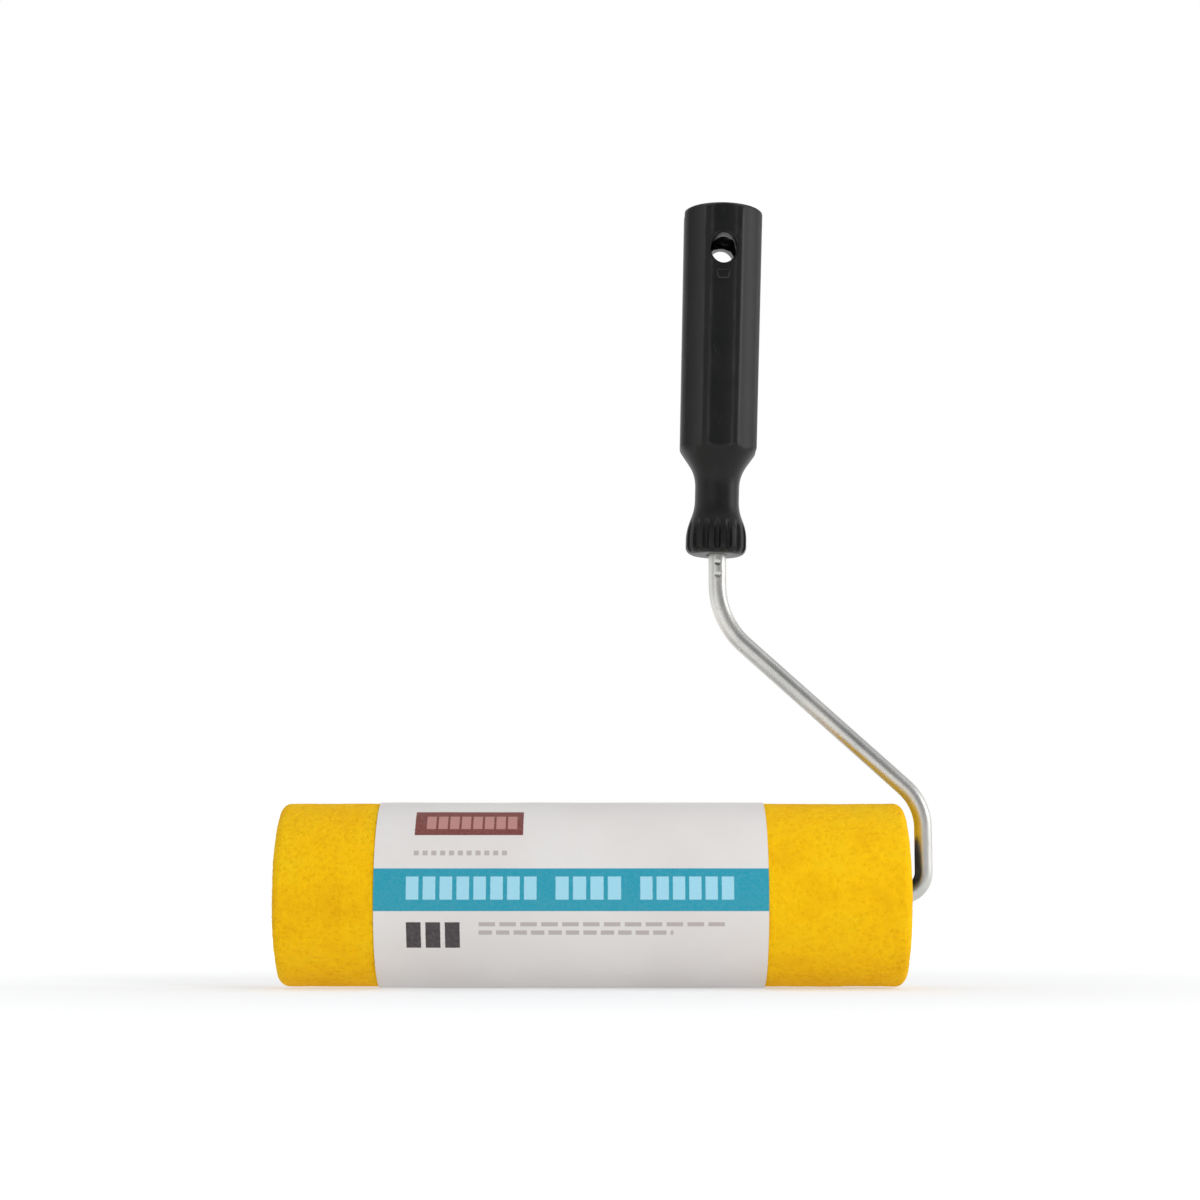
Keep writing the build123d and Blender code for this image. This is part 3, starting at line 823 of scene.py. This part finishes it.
def rodPath():
    # the rod's centre line, the jaw marks on it and the middle of its ears
    s = rodSet
    rodLow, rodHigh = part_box("frame_rod")
    radius = s["diameter"] / 2
    legX = rodHigh.x - radius
    leave, upright = onHandle(s["offset"], 0, -s["handleEnd"]), np.array((0.0, 0.0, 1.0))
    top, armTop = leave + s["tang"] * upright, leave - s["straight"] * upright
    dx, dz = foamHigh.x - armTop[0], foamHigh.z - armTop[2]
    slope = math.atan2(-dz, dx) - math.asin((radius + s["clearance"]) / math.hypot(dx, dz))
    elbow = (legX, 0, armTop[2] - (legX - armTop[0]) * math.tan(slope))
    corners = [top, armTop, elbow, (legX, 0, axleZ), (rodLow.x, 0, axleZ)]
    path = roundedPath(corners, s["bends"], s["step"])
    marks = [leave - drop * upright for drop in s["jawMarks"]]
    earX = legX - s["bends"][-1] - s["earFromBend"] - s["earWidth"] / 2
    path = refine(path, [*marks, np.array((earX, 0, axleZ))], 0.0035, 4)
    return refine(path, [path[0], path[-1]], 0.0012, 3), marks, earX


def makeRod():
    s = rodSet
    radius, sides = s["diameter"] / 2, s["sides"]
    path, marks, earX = rodPath()
    rod, along = barPiece("frameRod", path, s["diameter"], sides, s["chamfer"], steelMaterial())
    mesh = rod.data
    skin = len(path) * sides  # the points of the swept surface, which come before those of the ends
    co = np.zeros(len(mesh.vertices) * 3)
    mesh.vertices.foreach_get("co", co)
    co = co.reshape(-1, 3)
    centre = np.repeat(path, sides, axis=0)
    spoke = co[:skin] - centre
    spoke /= np.linalg.norm(spoke, axis=1)[:, None]
    # small dents of the bending jaw on the front, just below the handle
    for mark in marks:
        gap = co[:skin] - (mark - np.array((0, radius, 0)))
        d = np.hypot(gap[:, 0] / 0.00115, gap[:, 2] / 0.00085)
        dent = (1 - smoothStep(0.35, 1.15, d)) * (spoke[:, 1] < 0)
        co[:skin, 1] += dent * s["jawMarkDepth"]
    # ears squeezed out of the axle, front and back
    half = s["earWidth"] / 2
    nearEar = 1 - smoothStep(half - 0.0002, half + 0.0001, np.abs(centre[:, 0] - earX))
    nearEar *= np.abs(centre[:, 2] - axleZ) < 1e-5
    edge = s["earThickness"] / 2
    flank = 1 - smoothStep(edge * 0.8, edge * 1.25, np.abs(spoke[:, 2]) * radius)
    co[:skin, 1] += nearEar * flank * s["earProud"] * np.sign(spoke[:, 1])
    co[:skin] -= spoke * (nearEar * (1 - flank) * s["pinch"])[:, None]
    mesh.vertices.foreach_set("co", co.ravel())
    # the surface unrolled along the rod, for the drawing marks
    flow = mesh.attributes.new("rodFlow", "FLOAT_VECTOR", "POINT")
    turn = np.tile(np.linspace(0, 2 * math.pi, sides, endpoint=False), len(path))
    unrolled = np.stack([np.cos(turn) * radius, np.sin(turn) * radius, np.repeat(along, sides)], -1)
    flow.data.foreach_set("vector", unrolled.astype(np.float32).ravel())
    tidyMesh(rod, 40)
    return placePiece(rod, "frame", "rod_steel", "frame_rod")


makeRod()


# handle: eight flutes, a belled foot with grooves, a threaded socket and a hang hole

handleSet = {
    "length": 0.1303,
    "gripTop": 0.0153,  # radii, from the top down
    "gripLow": 0.0149,
    "neck": 0.00805,
    "bell": 0.0112,
    "gripEnd": 0.0906,  # depths below the mouth
    "neckTop": 0.1006,
    "neckLow": 0.1137,
    "bellTop": 0.1210,
    "rounding": (0.0030, 0.018, 0.018, 0.014, 0.0014, 0.0025),  # from the foot up
    "fluteCount": 8,
    "fluteRadius": 0.024,
    "fluteDepth": 0.0011,
    "fluteSoft": 0.00045,
    "grooveCount": 16,
    "grooveRadius": 0.00115,
    "grooveDepth": 0.0013,
    "grooveSoft": 0.0003,
    "grooveTop": 0.1133,
    "boreRadius": 0.0033,
    "boreDepth": 0.050,
    "socketRadius": 0.0079,
    "socketDepth": 0.037,
    "threadHeight": 0.0017,
    "threadPitch": 0.00508,
    "threadRoot": 0.0013,
    "threadMouth": 0.0030,
    "threadLength": 0.031,
    "reliefRadius": 0.00985,
    "reliefWidth": 0.0036,
    "holeDepth": 0.0173,
    "holeWide": 0.0048,
    "holeTall": 0.0057,
    "holeRounding": 0.0008,
    "holeSides": 72,
    "tab": (0.0050, 0.0036, 0.0005),  # width, height and how proud it stands
    "tabFlare": 0.35,
    "tabDepth": 0.0274,
    "columns": 288,
    "step": 0.0011,
    "threadStep": 0.00042,
    "partingLine": 0.00009,
}


def plasticMaterial(name, colours, roughness, grain, gloss, edge=None):
    # moulded plastic: faint clouds in the colour, a fine spark-eroded grain and scuffs, and, where an edge
    # attribute is given, edges painted paler as a painted highlight
    dark, light, paleWearAndHighlight = colours
    material, t = newMaterial(name)
    clouds = t.noise(t.place, 70.0, 4.0, 0.6)
    colour = t.ramp(clouds, (0.3, dark), (0.7, light))
    scuffs = t.noise(stretched(t, t.place, (1.0, 1.0, 0.22)), 420.0, 5.0, 0.7)
    wearAndEdgeHighlight = t.between(scuffs, 0.60, 0.74)
    # the marked edges are painted paler and rougher: a painted highlight, patchy with the scuffs
    if edge:
        edgeHighlight = t.add("ShaderNodeAttribute", attribute_name=edge).outputs["Fac"]
        colour = t.mix(t.math("MULTIPLY", edgeHighlight, t.between(scuffs, 0.3, 0.7)), colour, (*paleWearAndHighlight, 1))
        wearAndEdgeHighlight = t.math("MAXIMUM", wearAndEdgeHighlight, t.math("MULTIPLY", edgeHighlight, 0.4))
    colour = t.mix(t.math("MULTIPLY", wearAndEdgeHighlight, 0.35), colour, (*paleWearAndHighlight, 1))
    t.link(colour, t.shader.inputs["Base Color"])
    rough = t.between(clouds, 0.3, 0.7, roughness - 0.03, roughness + 0.04)
    t.link(t.math("ADD", rough, t.math("MULTIPLY", wearAndEdgeHighlight, 0.12)), t.shader.inputs["Roughness"])
    t.shader.inputs["Specular IOR Level"].default_value = gloss
    cells = t.add("ShaderNodeTexVoronoi", {"Vector": t.place, "Scale": 2600.0}, feature="F1")
    normal = bumpFrom(t, cells.outputs["Distance"], grain, 0.00005)
    t.link(bumpFrom(t, scuffs, 0.08, 0.00005, normal), t.shader.inputs["Normal"])
    return material


def ringCut(distance, cutter, angle, count):
    # radius at which a ray from the axis meets the nearest of a ring of round cutters
    period = 2 * math.pi / count
    off = (angle + math.pi / 2 + period / 2) % period - period / 2
    side = distance * np.sin(off)
    inside = np.clip(cutter ** 2 - side ** 2, 0, None)
    cut = distance * np.cos(off) - np.sqrt(inside)
    return np.where(np.abs(side) < cutter, cut, 1.0)


def handleRows():
    # rows of (radius, height, what): 1 is the outside and 2 the threaded wall of the socket
    s = handleSet
    length, bore, socket = s["length"], s["boreRadius"], s["socketRadius"]
    boreTop = s["boreDepth"] - length
    rows = [(0, boreTop, 0), (bore * 0.5, boreTop, 0), (bore, boreTop, 0)]
    rows += [(bore, z, 0) for z in np.linspace(boreTop - 0.0001, -length + 0.0004, 14)]
    corners = [
        (bore + 0.0004, -length), (s["bell"], -length), (s["bell"], -s["bellTop"]),
        (s["neck"], -s["neckLow"]), (s["neck"], -s["neckTop"]), (s["gripLow"], -s["gripEnd"]),
        (s["gripTop"], 0), (socket + 0.0004, 0),
    ]
    rows += [(r, z, 1) for r, z in roundedPath(corners, s["rounding"], s["step"])]
    low, floor = -s["threadLength"], -s["socketDepth"]
    rows += [(socket, z, 2) for z in np.arange(-0.0004, low, -s["threadStep"])]
    relief, width = s["reliefRadius"], s["reliefWidth"]
    rows += [(relief, z, 0) for z in (low - 0.0001, low - width / 2, low - width)]
    rows += [(socket, low - width - 0.0001, 0), (socket, floor + 0.0002, 0)]
    rows += [(socket - 0.0002, floor, 0), (socket * 0.5, floor, 0), (0, floor, 0)]
    return np.array(rows, float)


def gripTaper():
    return (handleSet["gripTop"] - handleSet["gripLow"]) / handleSet["gripEnd"]


def handleShape():
    # local (across, back, up) points of the whole surface and how near each is to a flute or groove edge, where
    # the material paints a highlight
    s = handleSet
    rows = handleRows()
    count = s["columns"]
    angle = np.linspace(0, 2 * math.pi, count, endpoint=False)
    r, z, what = (np.repeat(rows[:, i], count) for i in range(3))
    a = np.tile(angle, len(rows))
    # one flute and one groove face the front
    fromAxis = s["gripTop"] + s["fluteRadius"] - s["fluteDepth"]
    flute = ringCut(fromAxis, s["fluteRadius"] - z * gripTaper(), a, s["fluteCount"])
    cut = softMin(r, flute, s["fluteSoft"])
    # the edges between flutes and lands are marked for a painted highlight
    wearAndEdgeHighlight = np.exp(-((r - flute) / 0.00025) ** 2) * (np.abs(r - s["gripLow"]) < 0.0007)
    fromAxis = s["bell"] + s["grooveRadius"] - s["grooveDepth"]
    groove = ringCut(fromAxis, s["grooveRadius"], a, s["grooveCount"])
    cut = np.where(z < -s["grooveTop"], softMin(cut, groove, s["grooveSoft"]), cut)
    # the edges of the grooves in the bell are marked for the painted highlight too
    grooveEdgeHighlight = np.exp(-((r - groove) / 0.0003) ** 2) * (z < -s["bellTop"] + 0.003)
    wearAndEdgeHighlight = np.maximum(wearAndEdgeHighlight, grooveEdgeHighlight)
    onSide = (np.abs(np.sin(a)) < 1e-6) & (z > -s["length"] + 0.002) & (z < -0.002)
    radius = np.where(what == 1, cut + s["partingLine"] * onSide, r)
    # the thread is a helical groove with sloping flanks
    phase = (z / s["threadPitch"] - a / (2 * math.pi)) % 1.0
    fromGroove = np.abs(phase - 0.5) * s["threadPitch"]
    flank = (s["threadMouth"] - s["threadRoot"]) / 2
    inGroove = (s["threadMouth"] / 2 - fromGroove) / flank
    depth = smoothStep(-0.12, 1.12, inGroove) * s["threadHeight"]
    radius = np.where(what == 2, r + depth, radius)
    points = np.stack([radius * np.cos(a), radius * np.sin(a), z], -1)
    return rows, points, np.where(what == 1, wearAndEdgeHighlight, 0)


def holeCutter(material):
    # an oval bar from front to back, flared where it comes out
    s = handleSet
    count, rounding = s["holeSides"], s["holeRounding"]
    surface = s["gripTop"] - s["fluteDepth"] + 0.0001
    bend = np.linspace(0, 1, 7)
    flare = [(surface - rounding * (1 - t), rounding * (1 - math.sqrt(max(0, 1 - t * t)))) for t in bend]
    flare += [(surface + 0.003, rounding + 0.002)]
    rings = [(-b, e) for b, e in flare[::-1]] + flare
    angle = np.linspace(0, 2 * math.pi, count, endpoint=False)
    verts = []
    for b, e in rings:
        across = (s["holeWide"] + e) * np.cos(angle)
        up = (s["holeTall"] + e) * np.sin(angle) - s["holeDepth"]
        verts += [onHandle(p, b, q) for p, q in zip(across, up)]
    faces = [tuple(f) for f in gridFaces(len(rings), count)]
    faces += [tuple(range(count)), tuple(range(len(verts) - count, len(verts)))]
    return tidyMesh(makeMesh("holeCutter", verts, faces, material))


def makeHangTab(material):
    # small moulded tab on the flute below the hang hole, wider at the top, its rim painted pale as a painted
    # highlight
    s = handleSet
    wide, tall, proud = s["tab"]
    bm = bmesh.new()
    bmesh.ops.create_cube(bm, size=1.0)
    face = s["gripTop"] - s["fluteDepth"] - s["tabDepth"] * gripTaper() + proud
    thick = 0.0016
    for v in bm.verts:
        width = wide * (1 + s["tabFlare"] * v.co.z)
        v.co = Vector((v.co.x * width, v.co.y * thick, v.co.z * tall))
    upright = [e for e in bm.edges if abs(e.verts[0].co.y - e.verts[1].co.y) > thick / 2]
    bmesh.ops.bevel(bm, geom=upright, offset=0.0007, segments=6, affect="EDGES", profile=0.5)
    rim = [e for e in bm.edges if e.verts[0].co.y < -0.0007 and e.verts[1].co.y < -0.0007]
    bmesh.ops.bevel(bm, geom=rim, offset=0.0004, segments=5, affect="EDGES", profile=0.5)
    front = min(bm.faces, key=lambda f: f.calc_center_median().y)
    bmesh.ops.inset_region(bm, faces=[front], thickness=0.0003)
    bm.verts.index_update()
    calm = {v.index for v in front.verts}
    # the rim, apart from the inset front, is marked for the painted highlight
    paleWearAndHighlight = [float(v.co.y < -0.0003 and v.index not in calm) for v in bm.verts]
    for v in bm.verts:
        v.co = Vector(onHandle(v.co.x, v.co.y - face + thick / 2, v.co.z - s["tabDepth"]))
    tab = fromBmesh("hangTab", bm)
    tab.data.materials.append(material)
    pointValue(tab, "handleEdgeHighlight", paleWearAndHighlight)
    tidyMesh(tab, 30)
    return placePiece(tab, "frame", "handle_plastic")


def makeHandle():
    rows, points, wearAndEdgeHighlight = handleShape()
    verts = onHandle(points[:, 0], points[:, 1], points[:, 2])
    blacks = (0.0055, 0.0058, 0.0060), (0.0085, 0.0090, 0.0080), (0.030, 0.032, 0.029)
    material = plasticMaterial("blackPlastic", blacks, 0.34, 0.10, 0.22, edge="handleEdgeHighlight")
    handle = makeMesh("handleBody", verts, gridFaces(len(rows), handleSet["columns"]), material)
    pointValue(handle, "handleEdgeHighlight", wearAndEdgeHighlight)
    tidyMesh(handle, 180, 1e-8)
    cutter = holeCutter(material)
    cut = handle.modifiers.new("hangHole", "BOOLEAN")
    cut.operation, cut.solver, cut.object = "DIFFERENCE", "EXACT", cutter
    settle(handle)
    bpy.data.objects.remove(cutter)
    tidyMesh(handle, 38)
    makeHangTab(material)
    return placePiece(handle, "frame", "handle_plastic", "handle_body")


makeHandle()


# cage: wires sprung between the end caps, ribs in the inner cap

cageSet = {
    "wires": 5,
    "wireDiameter": 0.0020,
    "wireSides": 20,
    "wireEnd": 0.0124,  # radius at the caps
    "shoulder": 0.0177,
    "waist": 0.0168,
    "straight": 0.013,
    "ramp": 0.026,
    "bends": (0.030, 0.030, 0.250, 0.030, 0.030),
    "step": 0.0016,
    "chamfer": 0.0003,
    "ribs": 15,  # every third place is a wire's
    "firstRib": -48.0,  # degrees round the axle
    "ribIn": 0.0078,
    "ribOut": 0.0167,
    "ribTall": 0.0042,
    "ribThick": 0.0012,
    "ribDraft": 0.00035,
}


def wireMaterial():
    material, t = newMaterial("wireSteel")
    streaks = t.noise(stretched(t, t.place, (0.03, 1, 1)), 2400.0, 3.0, 0.6)
    patches = t.noise(t.place, 120.0, 4.0, 0.6)
    tint = t.ramp(patches, (0.35, (0.52, 0.51, 0.49)), (0.7, (0.40, 0.385, 0.355)))
    tint = t.mix(t.between(streaks, 0.45, 0.7, 0.0, 0.4), tint, (0.26, 0.25, 0.23, 1))
    t.link(tint, t.shader.inputs["Base Color"])
    t.shader.inputs["Metallic"].default_value = 1.0
    t.link(t.between(streaks, 0.3, 0.7, 0.26, 0.42), t.shader.inputs["Roughness"])
    t.link(bumpFrom(t, streaks, 0.25, 0.00004), t.shader.inputs["Normal"])
    return material


def makeWires():
    s = cageSet
    low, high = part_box("cage_wire_1")
    middle, ramp = (low.x + high.x) / 2, s["straight"] + s["ramp"]
    half = [(0, s["wireEnd"]), (s["straight"], s["wireEnd"]), (ramp, s["shoulder"])]
    corners = [(low.x + x, 0, r) for x, r in half] + [(middle, 0, s["waist"])]
    corners += [(high.x - x, 0, r) for x, r in half[::-1]]
    path = roundedPath(corners, s["bends"], s["step"])
    path = refine(path, [path[0], path[-1]], 0.0012, 4)
    steel = wireMaterial()
    wires = barPiece("cageWires", path, s["wireDiameter"], s["wireSides"], s["chamfer"], steel)[0]
    setRound(wires, s["wires"], steel)
    nodes = [name for name in frame["nodes"] if name.startswith("cage_wire_")]
    return placePiece(wires, "cage", "wire_steel", *sorted(nodes))


def makeRibs(material):
    # ribs between hub and wall, standing on the web of the inner cap
    s = cageSet
    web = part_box("cage_wire_1")[1].x

    def rib(corner):
        out = corner.x > 0
        half = s["ribThick"] / 2 - (s["ribDraft"] / 2 if out else 0)
        reach = s["ribOut"] if corner.z > 0 else s["ribIn"] + (0.0012 if out else 0)
        return Vector((web + (s["ribTall"] if out else -0.0004), math.copysign(half, corner.y), reach))

    ribs = smallBar("capRibs", rib, lambda x1, x2: min(x1, x2) > web, 0.0003)
    setRound(ribs, s["ribs"], material, math.radians(s["firstRib"]), 3)
    return placePiece(ribs, "cage", "cap_plastic")


capBlacks = (0.014, 0.014, 0.015), (0.021, 0.021, 0.021), (0.06, 0.06, 0.058)
capPlastic = plasticMaterial("capPlastic", capBlacks, 0.48, 0.16, 0.5)
nylons = (0.66, 0.65, 0.60), (0.72, 0.71, 0.67), (0.50, 0.48, 0.43)
bearingPlastic = plasticMaterial("bearingPlastic", nylons, 0.42, 0.08, 0.5)
makeWires()
makeRibs(capPlastic)


# dust cap: a dished disc with a raised rim and a ring of short grips

dustSet = {
    "radius": 0.0165,
    "thick": 0.0012,
    "skirt": 0.0042,
    "wall": 0.0012,
    "grips": 24,
    "gripRadius": 0.0103,
    "gripLong": 0.0040,
    "gripWide": 0.0008,
}


def makeDustCap(material):
    s = dustSet
    x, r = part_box("dust_cap")[0].x, s["radius"]
    dish = [
        (0.0005, 0), (0.00052, 0.0022), (0.0003, 0.0031), (0.0001, 0.0036), (0, 0.0042),
        (0, 0.0066), (0.0001, 0.0070), (0.0005, 0.0074), (0.00055, 0.0080), (0.00055, 0.0128),
        (0.0005, 0.0133), (0.0001, 0.0137), (0, 0.0141),
    ]
    skirt, inside = s["skirt"], r - s["wall"]
    rim = [
        (0, r - 0.0005), (0.00015, r - 0.00015), (0.0005, r), (skirt - 0.0004, r),
        (skirt, r - 0.0003), (skirt, inside + 0.0002), (skirt - 0.0002, inside),
    ]
    thick = s["thick"]
    back = [(thick + 0.0004, inside), (thick, inside - 0.0004), (thick, 0.004), (thick, 0)]
    section = [(x + deep, out) for deep, out in dish + rim + back]
    return placePiece(lathe("dustCap", section, 128, material, 50), "cage", "cap_plastic", "dust_cap")


def makeGrips(material):
    # short raised bars round the dished part of the dust cap
    s = dustSet
    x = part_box("dust_cap")[0].x

    def grip(corner):
        deep = 0.0009 if corner.x > 0 else 0.00012
        return Vector((x + deep, corner.y * s["gripWide"], s["gripRadius"] + corner.z * s["gripLong"]))

    grips = smallBar("dustCapGrips", grip, lambda x1, x2: max(x1, x2) < x + 0.0005, 0.0002)
    setRound(grips, s["grips"], material)
    return placePiece(grips, "cage", "cap_plastic")


makeDustCap(capPlastic)
makeGrips(capPlastic)


# finishes of the turned and moulded parts whose shape needs no change

def hardwareMaterial(name, plated, dull):
    # zinc plated washers and the dark spring steel of the push nut
    material, t = newMaterial(name)
    around = t.noise(t.place, 900.0, 4.0, 0.6)
    patches = t.noise(t.place, 200.0, 3.0, 0.6)
    tint = t.mix(t.between(patches, 0.35, 0.7), (*plated, 1), (*dull, 1))
    tint = t.mix(t.between(around, 0.5, 0.75, 0.0, 0.4), tint, (*dull, 1))
    t.link(tint, t.shader.inputs["Base Color"])
    t.shader.inputs["Metallic"].default_value = 1.0
    t.link(t.between(around, 0.3, 0.7, 0.28, 0.44), t.shader.inputs["Roughness"])
    t.link(bumpFrom(t, around, 0.2, 0.00004), t.shader.inputs["Normal"])
    return material


def coreMaterial():
    material, t = newMaterial("corePlastic")
    fibres = t.noise(stretched(t, t.place, (0.25, 1, 1)), 700.0, 5.0, 0.65)
    clouds = t.noise(t.place, 60.0, 3.0)
    tint = t.ramp(clouds, (0.3, (0.58, 0.56, 0.50)), (0.7, (0.66, 0.64, 0.59)))
    tint = t.mix(t.between(fibres, 0.45, 0.75, 0.0, 0.5), tint, (0.44, 0.41, 0.36, 1))
    t.link(tint, t.shader.inputs["Base Color"])
    t.link(t.between(fibres, 0.3, 0.7, 0.5, 0.68), t.shader.inputs["Roughness"])
    t.link(bumpFrom(t, fibres, 0.3, 0.0001), t.shader.inputs["Normal"])
    return material


zinc = hardwareMaterial("washerSteel", (0.62, 0.62, 0.60), (0.42, 0.42, 0.41))
spring = hardwareMaterial("springSteel", (0.20, 0.20, 0.22), (0.10, 0.10, 0.105))
finishes = {
    "inner_thrust_washer": zinc,
    "outer_thrust_washer": zinc,
    "push_nut": spring,
    "inner_end_cap": capPlastic,
    "outer_end_cap": capPlastic,
    "cage_centre_ring": capPlastic,
    "inner_bearing": bearingPlastic,
    "outer_bearing": bearingPlastic,
    "core_tube": coreMaterial(),
}
for name, finish in finishes.items():
    node = frame["nodes"][name]
    node.data.materials.clear()
    node.data.materials.append(finish)
    print("finished", name)
